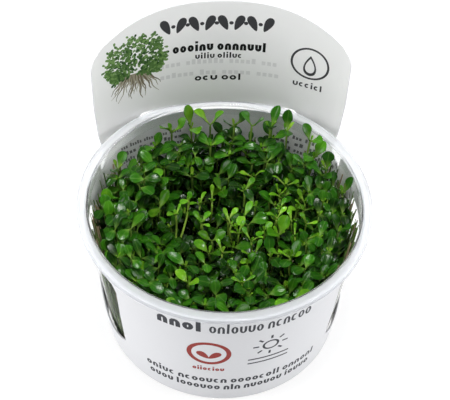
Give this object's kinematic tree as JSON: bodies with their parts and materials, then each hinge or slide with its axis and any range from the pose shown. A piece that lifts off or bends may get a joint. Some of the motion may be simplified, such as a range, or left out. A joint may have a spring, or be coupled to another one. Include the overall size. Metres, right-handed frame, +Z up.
{
  "type": "glossostigma culture cup",
  "caption": "Clear plastic culture cup of small creeping water plants on gel, in a white card sleeve with side windows and an arched header standing behind the rim.",
  "frame": {"origin": "on the cup's axis, in the plane that its foot rests on", "axes": "+Z up along the cup's axis, +Y towards the header, -Y towards the front panel, +X to the right of a person who reads the front"},
  "size_m": [0.0998, 0.0998, 0.1048],
  "materials": {
    "clear_plastic": "gloss",
    "nutrient_gel": "gloss",
    "white_card": "satin",
    "foliage": "satin"
  },
  "bodies": {
    "root": {"cup": "clear_plastic", "growth_gel": "nutrient_gel", "label_sleeve": "white_card", "plantlet_01": "foliage", "plantlet_02": "foliage", "plantlet_03": "foliage", "plantlet_04": "foliage", "plantlet_05": "foliage", "plantlet_06": "foliage", "plantlet_07": "foliage", "plantlet_08": "foliage", "plantlet_09": "foliage", "plantlet_10": "foliage", "plantlet_11": "foliage", "plantlet_12": "foliage", "plantlet_13": "foliage", "plantlet_14": "foliage", "plantlet_15": "foliage", "plantlet_16": "foliage", "plantlet_17": "foliage", "plantlet_18": "foliage", "plantlet_19": "foliage", "plantlet_20": "foliage", "plantlet_21": "foliage", "plantlet_22": "foliage", "plantlet_23": "foliage", "plantlet_24": "foliage"}
  },
  "joints": []
}
